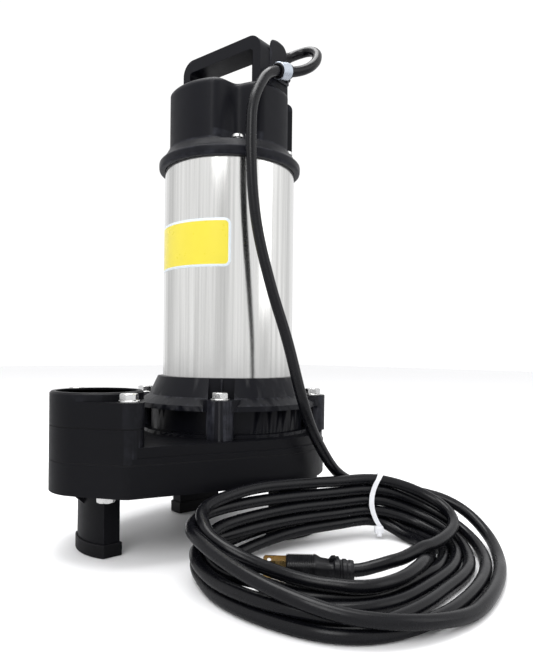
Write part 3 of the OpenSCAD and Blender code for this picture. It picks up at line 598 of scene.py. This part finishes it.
def hex_bolt(seat, shank, washer, up=1, across=13.0, high=5.3):
    """Points and faces of a hex bolt with a chamfered head on its seat, over a washer if it has one."""
    apothem, count = across / 2, 96
    steps = [2 * math.pi * k / count for k in range(count)]
    outline = [hexagon(apothem, a) for a in steps]
    top = washer + high

    def flat(radius, height):
        return [radius] * count, [height] * count

    rings = [flat(0.0, -shank), flat(3.3, -shank), flat(3.9, 1 - shank), flat(3.9, 0.0)]
    if washer:
        rings += [flat(8.0, 0.0), flat(8.3, 0.25), flat(8.3, washer - 0.25), flat(8.0, washer)]
    rings += [flat(apothem * 0.94, washer),
              ([min(r, apothem) * 0.985 for r in outline], [washer + 0.1] * count),
              (outline, [washer + 0.5] * count),
              (outline, [top - 0.25 - max(0.0, r - apothem) * 0.58 for r in outline]),
              ([min(r, apothem) * 0.97 for r in outline], [top - 0.05] * count),
              flat(apothem * 0.9, top), flat(apothem * 0.4, top - 0.12)]
    points = [(r * math.cos(a), r * math.sin(a), seat + up * z)
              for radii, heights in rings for r, a, z in zip(radii, steps, heights)]
    points.append((0, 0, seat + up * (top - 0.12)))
    faces = grid_faces(len(rings), count) + fan((len(rings) - 1) * count, count, len(points) - 1)
    return points, faces


def make_bolts(name, node, places, materials, turn, **more):
    """Bolts at places measured from the motor's axis, each turned a little differently."""
    points, faces = [], []
    for number, (x, y) in enumerate(places):
        one, some = hex_bolt(**more)
        a = math.radians(turn + 17 * number)
        first = len(points)
        points += [(MOTOR_X + x + p[0] * math.cos(a) - p[1] * math.sin(a),
                    y + p[0] * math.sin(a) + p[1] * math.cos(a), p[2]) for p in one]
        faces += [tuple(first + k for k in f) for f in some]
    slot = SLOT_OF[node]
    piece = new_piece(name, mesh_from(name, points, faces), materials[slot], BODY_OF[node], (node,))
    mark_edges(piece.data)
    smooth_faces(piece, 24)


def polar(radius, angles, turn=0.0):
    turned_by = [math.radians(a + turn) for a in angles]
    return [(radius * math.cos(a), radius * math.sin(a)) for a in turned_by]


def make_through_bolts(materials):
    """Pan-headed screws with a hex socket, over rods that run down through the motor."""
    count, points, faces = 48, [], []
    rings = [(0.01, 144), (2.6, 144), (2.95, 145), (2.95, 363.5), (5.3, 363.5), (5.6, 363.8),
             (5.6, 365.0), (5.2, 366.3), (4.2, 367.1), (2.6, 367.4)]
    for x, y in polar(57.5, [recess[0] for recess in RECESSES], math.degrees(HEAD_TURN)):
        first = len(points)
        for r, z in rings:
            points += [(MOTOR_X + x + r * math.cos(2 * math.pi * k / count),
                        y + r * math.sin(2 * math.pi * k / count), z) for k in range(count)]
        for z in (367.3, 365.4):
            for k in range(count):
                a = 2 * math.pi * k / count
                r = hexagon(2.0, a)
                points.append((MOTOR_X + x + r * math.cos(a), y + r * math.sin(a), z))
        rows = len(rings) + 2
        faces += grid_faces(rows, count, first)
        points.append((MOTOR_X + x, y, 365.2))
        faces += fan(first + (rows - 1) * count, count, len(points) - 1)
    slot = SLOT_OF["through_bolts"]
    piece = new_piece("through_bolt_screws", mesh_from("through_bolt_screws", points, faces),
                      materials[slot], "pump", ("through_bolts",))
    mark_edges(piece.data)
    smooth_faces(piece)


def make_label(materials):
    """A blank sticker with rounded corners and a plain border, bent round the sleeve."""
    half, tall, corner, border = 50.0, 22.0, 6.0, 2.4
    facing, height = math.radians(-171), 268
    outline = []
    for cx, cy, start in ((half - corner, tall - corner, 0), (-half + corner, tall - corner, 90),
                          (-half + corner, -tall + corner, 180), (half - corner, -tall + corner, 270)):
        outline += [(cx, cy, math.radians(start + 7.5 * k)) for k in range(13)]
    # more points along the long sides, so that the film follows the sleeve
    rim = []
    for (ax, ay, t), (bx, _, _) in zip(outline, outline[1:] + outline[:1]):
        rim.append((ax, ay, t))
        if abs(ax - bx) > 20:
            rim += [(ax + (bx - ax) * k / 24, ay, t) for k in range(1, 24)]
    rows = []
    for inset in (0.0, 0.25, border, border + 0.05):
        r = corner - inset
        rows.append([(x + r * math.cos(t), y + r * math.sin(t)) for x, y, t in rim])
    core = rows[-1]
    rows += [[(x * s, y * s) for x, y in core] for s in (0.9, 0.8, 0.7, 0.6, 0.5, 0.4, 0.3, 0.2, 0.1, 0.03)]
    lift = [0.02, 0.28] + [0.3] * (len(rows) - 2)
    points = []
    for row, high in zip(rows, lift):
        for u, v in row:
            a = facing + u / SLEEVE_R
            r = SLEEVE_R + high
            points.append((MOTOR_X + r * math.cos(a), r * math.sin(a), height + v))
    count = len(rim)
    faces = grid_faces(len(rows), count)
    faces.append(tuple(range((len(rows) - 1) * count, len(rows) * count)))
    mesh = mesh_from("label_film_sheet", points, faces)
    piece = new_piece("label_film_sheet", mesh, materials["label_film"], "pump",
                      ("label",))
    piece.data.materials.append(materials["label_border"])
    for p in piece.data.polygons:
        p.use_smooth = True
        if min(p.vertices) < 2 * count:
            p.material_index = 1


def make_gland(line, material):
    """The cord's tapered strain relief, which follows the cord out of its housing."""
    count, points = 32, []
    along = np.concatenate([[0], np.cumsum(np.linalg.norm(np.diff(line, axis=0), axis=1))])
    # (distance along the cord, radius), with three grooves
    profile = [(-7, 4.9), (-7, 5.75), (1, 5.8), (2.5, 5.8), (4, 5.72), (5, 5.3), (6, 5.3), (7, 5.66),
               (9, 5.6), (10, 5.25), (11, 5.25), (12, 5.55), (14, 5.5), (15, 5.2), (16, 5.2), (17, 5.45),
               (20, 5.35), (23.4, 5.2), (24, 5.0), (24, 4.7)]
    for s, r in profile:
        here = np.array([np.interp(max(s, 0), along, line[:, k]) for k in range(3)])
        ahead = np.array([np.interp(max(s, 0) + 2, along, line[:, k]) for k in range(3)])
        t = (ahead - here) / np.linalg.norm(ahead - here)
        here = here + min(s, 0) * t
        side = np.cross(t, (0, 0, 1))
        side /= np.linalg.norm(side)
        up = np.cross(side, t)
        points += [tuple(here + r * (math.cos(a) * side + math.sin(a) * up))
                   for a in (2 * math.pi * k / count for k in range(count))]
    faces = grid_faces(len(profile), count, closed=True)
    piece = new_piece("cord_relief", mesh_from("cord_relief", points, faces), material, "pump",
                      ("cord_gland",))
    smooth_faces(piece)
    return piece


def on_head(points):
    """From the head cover's own frame, which is turned about the motor."""
    c, s = math.cos(HEAD_TURN), math.sin(HEAD_TURN)
    return [(MOTOR_X + x * c - y * s, x * s + y * c, z) for x, y, z in points]


def make_housing(materials):
    """The cord housing beside the handle, with its corners and edges moulded round."""
    # (depth, how far the outline draws in, start on the handle's side)
    levels = [(-53.0, 3.4, -1.0), (-52.8, 2.2, -2.0), (-52.3, 1.2, -2.7), (-51.65, 0.6, -3.0),
              (-51.6, 0.6, 8.4), (-50.0, 0.1, 8.4), (-48.0, 0.0, 8.4), (-26.0, 0.0, 8.4), (-23.2, 0.6, 8.4),
              (-21.2, 2.0, 8.4), (-20.2, 4.0, 8.4), (-20.0, 5.0, 9.0)]
    points, corner, outer, top, foot = [], 10.0, 24.2, 469.0, 419
    for y, inset, start in levels:
        r = corner - inset
        rim = [(start, foot), (start, 440), (start, 455)]
        for x in np.linspace(start, outer - corner, 14, endpoint=False):
            round_off = 4 - math.sqrt(16 - max(0.0, start + 4 - x) ** 2)
            rim.append((x, 469.4 - inset - 0.022 * (x - 10) ** 2 - round_off))
        rim += [(outer - corner + r * math.cos(a), top - corner + r * math.sin(a))
                for a in np.linspace(math.pi / 2, 0, 13)]
        rim += [(24.2 - inset, 434), (24.6 - inset, 432.4), (26.2 - inset, 431.2), (26.4 - inset, foot)]
        points += on_head([(x, y, z) for x, z in rim])
    count = len(points) // len(levels)
    faces = grid_faces(len(levels), count)
    faces += [tuple(range(count)), tuple(range(len(points) - count, len(points)))]
    piece = new_piece("cord_housing_shell", mesh_from("cord_housing_shell", points, faces),
                      materials["cover_plastic"], "pump", ("cord_housing",))
    # the hole that the gland sits in
    mouth, mouth_r, around = [], 5.85, 40
    for x in (11.3, 40.0):
        mouth += on_head([(x, -36 + mouth_r * math.cos(a), 459.5 + mouth_r * math.sin(a))
                          for a in np.linspace(0, 2 * math.pi, around, endpoint=False)])
    sides = grid_faces(2, around) + [tuple(range(around)), tuple(range(around, 2 * around))]
    cutter = bpy.data.objects.new("cutter", mesh_from("cutter", mouth, sides))
    SCENE.collection.objects.link(cutter)
    cut = piece.modifiers.new("mouth", "BOOLEAN")
    cut.operation, cut.solver, cut.object = "DIFFERENCE", "EXACT", cutter
    apply_modifiers(piece)
    bpy.data.objects.remove(cutter)
    mark_edges(piece.data)
    smooth_faces(piece, 30)


def round_the_cord(line, near, profile, count=48):
    """Points and faces of a closed ring round the cord: (distance along it, radius) for each corner."""
    k = int(np.argmin(np.linalg.norm(line - np.array(near), axis=1)))
    t = line[k + 2] - line[k - 2]
    t /= np.linalg.norm(t)
    side = np.cross(t, (0, 0, 1))
    side /= np.linalg.norm(side)
    up = np.cross(side, t)
    points = []
    for s, r in profile:
        points += [tuple(line[k] + s * t + r * (math.cos(a) * side + math.sin(a) * up))
                   for a in (2 * math.pi * j / count for j in range(count))]
    return points, grid_faces(len(profile), count, closed=True)


def make_clip(line, materials):
    """A rubber-lined P clip drawn round the cord and screwed to the housing's cheek."""
    near = (54, -60.5, 434.6)
    points, faces = round_the_cord(line, near, [
        (-10.5, 4.9), (-10.9, 5.3), (-10.9, 6.4), (-10.5, 6.8), (7.6, 6.8), (8.0, 6.4), (8.0, 5.3),
        (7.6, 4.9)])
    liner = new_piece("clip_liner_sleeve", mesh_from("clip_liner_sleeve", points, faces),
                      materials["seal_rubber"], "pump", ("clip_liner",))
    smooth_faces(liner)
    points, faces = round_the_cord(line, near, [
        (-6.9, 6.8), (-7.0, 7.0), (-7.0, 7.6), (-6.7, 7.9), (6.3, 7.9), (6.6, 7.6), (6.6, 7.0), (6.5, 6.8)])
    # the tab that goes from the ring down the cheek to the screw
    first = len(points)
    tab = [(6, 442), (6, 430.5), (7.2, 429.5), (23, 429.5), (24.2, 430.7), (24.2, 440.3), (23, 441.5),
           (7, 442.6)]
    for y in (-53.1, -54.3):
        points += on_head([(x, y, z) for x, z in tab])
    faces += grid_faces(2, len(tab), first)
    faces += [tuple(range(first, first + 8)), tuple(range(first + 8, first + 16))]
    band = new_piece("clip_strap", mesh_from("clip_strap", points, faces), materials["zinc_steel"],
                     "pump", ("clip_band",))
    # the tab's faces get dark steel as painted shade: the strap is zinc all through, and the dark stands for
    # the shadow behind the clip
    band.data.materials.append(materials["dark_steel"])
    for p in band.data.polygons:
        if min(p.vertices) >= first:
            p.material_index = 1
    smooth_faces(band)


PLUG_AT, PLUG_TURN = (-3, -170, 9.4), math.radians(-44)


def plug_place(points):
    """From the plug's own frame, whose X runs from the blades to the cord."""
    c, s = math.cos(PLUG_TURN), math.sin(PLUG_TURN)
    return [(PLUG_AT[0] + x * c - y * s, PLUG_AT[1] + x * s + y * c, PLUG_AT[2] + z) for x, y, z in points]


def make_plug(materials):
    """A moulded grip: a ribbed front block, a waist, a shoulder, and a ribbed collar round the cord."""
    count = 64
    # (distance along the plug, half width, half height, squareness)
    stations = [(-25, 10.6, 7.6, 5), (-24.6, 11.6, 8.4, 5)]
    x = -23.4
    while x < -4:
        stations += [(x - 0.55, 12.2, 8.9, 5), (x - 0.3, 11.5, 8.2, 5), (x + 0.15, 11.5, 8.2, 5),
                     (x + 0.4, 12.2, 8.9, 5)]
        x += 1.55
    # the waist, the shoulder, and the collar's two grooves
    stations += [(-3.2, 12.4, 8.9, 5), (-2, 12.0, 8.5, 5), (1, 10.2, 7.2, 4.5), (6, 9.0, 6.8, 4),
                 (9, 8.8, 6.8, 3.6), (10.2, 9.4, 7.6, 3.4), (10.8, 10.4, 8.8, 3.2), (14.0, 10.4, 8.9, 3.2),
                 (14.6, 9.8, 8.4, 3), (15.2, 8.2, 7.4, 2.6), (16.4, 8.0, 7.2, 2.4), (17.0, 8.8, 7.9, 2.4),
                 (19.4, 8.8, 7.9, 2.4), (20.0, 8.0, 7.3, 2.2), (21.2, 7.7, 7.1, 2.2), (21.8, 8.2, 7.6, 2),
                 (24.2, 8.0, 7.4, 2), (25, 7.2, 6.9, 2), (25, 4.6, 4.6, 2)]
    points = []
    for x, wide, high, square in stations:
        for k in range(count):
            a = 2 * math.pi * k / count
            c, s = math.cos(a), math.sin(a)
            points.append((x, wide * math.copysign(abs(c) ** (2 / square), c),
                           high * math.copysign(abs(s) ** (2 / square), s) - 0.1))
    faces = grid_faces(len(stations), count)
    for x, start in ((-25, 0), (25, (len(stations) - 1) * count)):
        points.append((x, 0, -0.1))
        faces += fan(start, count, len(points) - 1)
    # a raised latch on the shoulder
    first = len(points)
    latch = [(6.5, 6.4), (8.5, 9.6), (11.5, 9.9), (12.6, 7.8)]
    for y in (-3.2, 3.2):
        points += [(x, y, z) for x, z in latch]
    faces += [(first, first + 1, first + 2, first + 3), (first + 4, first + 7, first + 6, first + 5)]
    faces += [(first + k, first + (k + 1) % 4, first + 4 + (k + 1) % 4, first + 4 + k) for k in range(4)]
    body = new_piece("plug_grip", mesh_from("plug_grip", plug_place(points), faces),
                     materials["plug_rubber"], "pump", ("plug_body",))
    mark_edges(body.data)
    smooth_faces(body, 40)
    # two flat blades with a hole near the tip, and the round earth pin
    points, faces = [], []
    for y in (-6.35, 6.35):
        rim = [(-25, 1), (-25, 7.3), (-40.6, 7.3), (-42, 5.9), (-42, 2.4), (-40.6, 1)]
        hole = [(-37.6 + u, 4.15 + v) for u, v in polar(1.7, range(90, 450, 60))]
        first = len(points)
        for off in (-0.75, 0.75):
            points += [(x, y + off, z) for x, z in rim] + [(x, y + off, z) for x, z in hole]
        near = {r: min(range(6), key=lambda h: math.dist(rim[r], hole[h])) for r in range(6)}
        for side in (0, 12):
            for r in range(6):
                n = (r + 1) % 6
                a, b = near[r], near[n]
                step = [a]
                while step[-1] != b:
                    up, down = (b - step[-1]) % 6, (step[-1] - b) % 6
                    step.append((step[-1] + (1 if up <= down else -1)) % 6)
                face = [first + side + r] + [first + side + 6 + h for h in step] + [first + side + n]
                faces.append(tuple(face))
        for a in (first, first + 6):
            faces += [(a + k, a + (k + 1) % 6, a + 12 + (k + 1) % 6, a + 12 + k) for k in range(6)]
    count, pin = 24, [(-25, 2.4), (-39.6, 2.4), (-41.2, 1.9), (-42, 0.9)]
    first = len(points)
    for x, r in pin:
        points += [(x, r * math.cos(2 * math.pi * k / count), -5 + r * math.sin(2 * math.pi * k / count))
                   for k in range(count)]
    faces += grid_faces(len(pin), count, first)
    faces.append(tuple(range(first + 3 * count, first + 4 * count)))
    faces.append(tuple(range(first, first + count)))
    blades = new_piece("plug_contacts", mesh_from("plug_contacts", plug_place(points), faces),
                       materials["brass"], "pump", ("plug_blades",))
    mark_edges(blades.data)
    smooth_faces(blades)
    return body, blades


def make_tie(line, material):
    """A nylon tie drawn tight round the turns where they cross its plane, with its head and cut tail."""
    middle = np.array([119.0, -127.0, 0.0])
    ahead = np.array([0.80, -0.60, 0.0])        # the way that the turns run here
    side = np.array([-ahead[1], ahead[0], 0.0])
    rel = line - middle
    across = rel @ ahead
    crossings = []
    for k in range(len(line) - 1):
        if across[k] * across[k + 1] <= 0 and abs(rel[k] @ side) < 45:
            t = across[k] / (across[k] - across[k + 1] + 1e-12)
            p = rel[k] * (1 - t) + rel[k + 1] * t
            crossings.append((float(p @ side), float(line[k][2] * (1 - t) + line[k + 1][2] * t)))
    # the hull of circles round the crossings
    count = 120
    rim = []
    for k in range(count):
        a = 2 * math.pi * k / count
        n = (math.cos(a), math.sin(a))
        rim.append(max(crossings, key=lambda c: c[0] * n[0] + c[1] * n[1]) + (a,))

    def loop(out):
        row = np.array([(u + out * math.cos(a), max(v + out * math.sin(a), 0.3)) for u, v, a in rim])
        row = np.vstack([row, row[:1]])
        along = np.concatenate([[0], np.cumsum(np.linalg.norm(np.diff(row, axis=0), axis=1))])
        spots = np.linspace(0, along[-1], count, endpoint=False)
        return [(np.interp(t, along, row[:, 0]), np.interp(t, along, row[:, 1])) for t in spots]

    low, high = min(c[1] for c in crossings), max(c[1] for c in crossings)
    centre = sum(c[0] for c in crossings) / len(crossings)

    def bow(u, v):
        """How far the band strays along the cord on its near side."""
        share = min(max((v - low + 4) / (high - low + 9), 0), 1)
        return 2.0 - 9.0 * math.sin(math.pi * share) ** 0.8 if u < centre else 2.0

    inner, outer = loop(CORD_D / 2 + 0.1), loop(CORD_D / 2 + 1.4)
    points = []
    for row, w in ((inner, -2.3), (inner, 2.3), (outer, 2.3), (outer, 1.2), (outer, -1.2), (outer, -2.3)):
        points += [tuple(middle + side * u + ahead * (w + bow(u, v)) + np.array([0, 0, v])) for u, v in row]
    faces = grid_faces(6, count, closed=True)
    # the head and the cut tail, low on the inner side
    lowest = min(crossings, key=lambda c: c[1])
    base = middle + side * (lowest[0] - CORD_D / 2 - 1.6) + np.array([0, 0, lowest[1] - 6.0])
    corner = 0.5
    for deep, wide, tall, shift, drop in ((2.2, 4.0, 3.1, 0, 0), (0.7, 2.2, 4.0, -2.2, -1.6)):
        first = len(points)
        for w in (-wide, -wide + corner, wide - corner, wide):
            inset = corner if abs(w) == wide else 0.0
            near, far, top = -deep + inset, deep - inset, tall - inset
            for u, v in ((near, corner - top), (near + corner, -top), (far, -top), (far, top),
                         (near + corner, top), (near, top - corner)):
                p = base + side * (u + shift) + ahead * w + np.array([0, 0, v + drop])
                p[2] = max(p[2], 0.3)
                points.append(tuple(p))
        faces += grid_faces(4, 6, first)
        faces += [tuple(range(first, first + 6)), tuple(range(first + 18, first + 24))]
    piece = new_piece("cord_tie_band", mesh_from("cord_tie_band", points, faces), material,
                      "pump", ("cord_tie",))
    smooth_faces(piece, 30)
    return piece


# ---- The scene -----------------------------------------------------------------------------

SCENE.view_settings.view_transform = "Standard"
make_camera()
make_world()
area_light("key", (-1.3, -0.9, 1.5), (0, 0, 0.25), (0.8, 1.2), 14)
area_light("fill", (0.9, -1.7, 1.0), (0.05, -0.1, 0.15), (0.9, 1.4), 5)
area_light("top", (0.0, 0.1, 1.9), (0, 0, 0), (1.2, 1.2), 26)
MATERIALS = make_materials()
make_floor(MATERIALS["floor"])

for name, node in NODES.items():
    node.data.materials.clear()
    node.data.materials.append(MATERIALS[SLOT_OF[name]])

# the width and the segments of each rounded edge
ROUNDING = {
    "casing_lower": (1.3, 3), "casing_upper": (0.9, 3), "discharge_flange": (1.2, 3),
    "motor_bracket": (0.9, 2), "leg_discharge": (1.5, 3), "leg_left": (1.5, 3), "leg_right": (1.5, 3),
    "boot_discharge": (1.0, 3), "boot_left": (1.0, 3), "boot_right": (1.0, 3), "carry_handle": (2.8, 4),
    "suction_plate": (0.8, 2), "clip_screw": (0.5, 2),
}
for name, (width, segments) in ROUNDING.items():
    rounded_copy(name, width * MM, segments, MATERIALS)
make_head_cover(MATERIALS)
make_sleeve(MATERIALS)
make_bolts("bracket_bolt_heads", "bracket_bolts", polar(85, (-132, -45, 45, 132)), MATERIALS, turn=22,
           seat=128, shank=41, washer=1.2)
make_bolts("discharge_bolt_heads", "discharge_bolts", [(-136, -49.5), (-136, 49.5)], MATERIALS, turn=12,
           seat=129, shank=32, washer=1.6)
make_bolts("casing_bolt_heads", "casing_bolts", polar(88, (-118, -22, 22, 118)) + [(-148, -36), (-148, 36)],
           MATERIALS, turn=8, seat=54.5, shank=34.5, washer=0, up=-1, high=5.2)
make_through_bolts(MATERIALS)
make_label(MATERIALS)
make_housing(MATERIALS)

cord, cord_line = make_cord(MATERIALS["cord_rubber"])
relief = make_gland(cord_line, MATERIALS["seal_rubber"])
plug_grip, plug_contacts = make_plug(MATERIALS)
make_clip(cord_line, MATERIALS)
tie = make_tie(cord_line, MATERIALS["tie_nylon"])
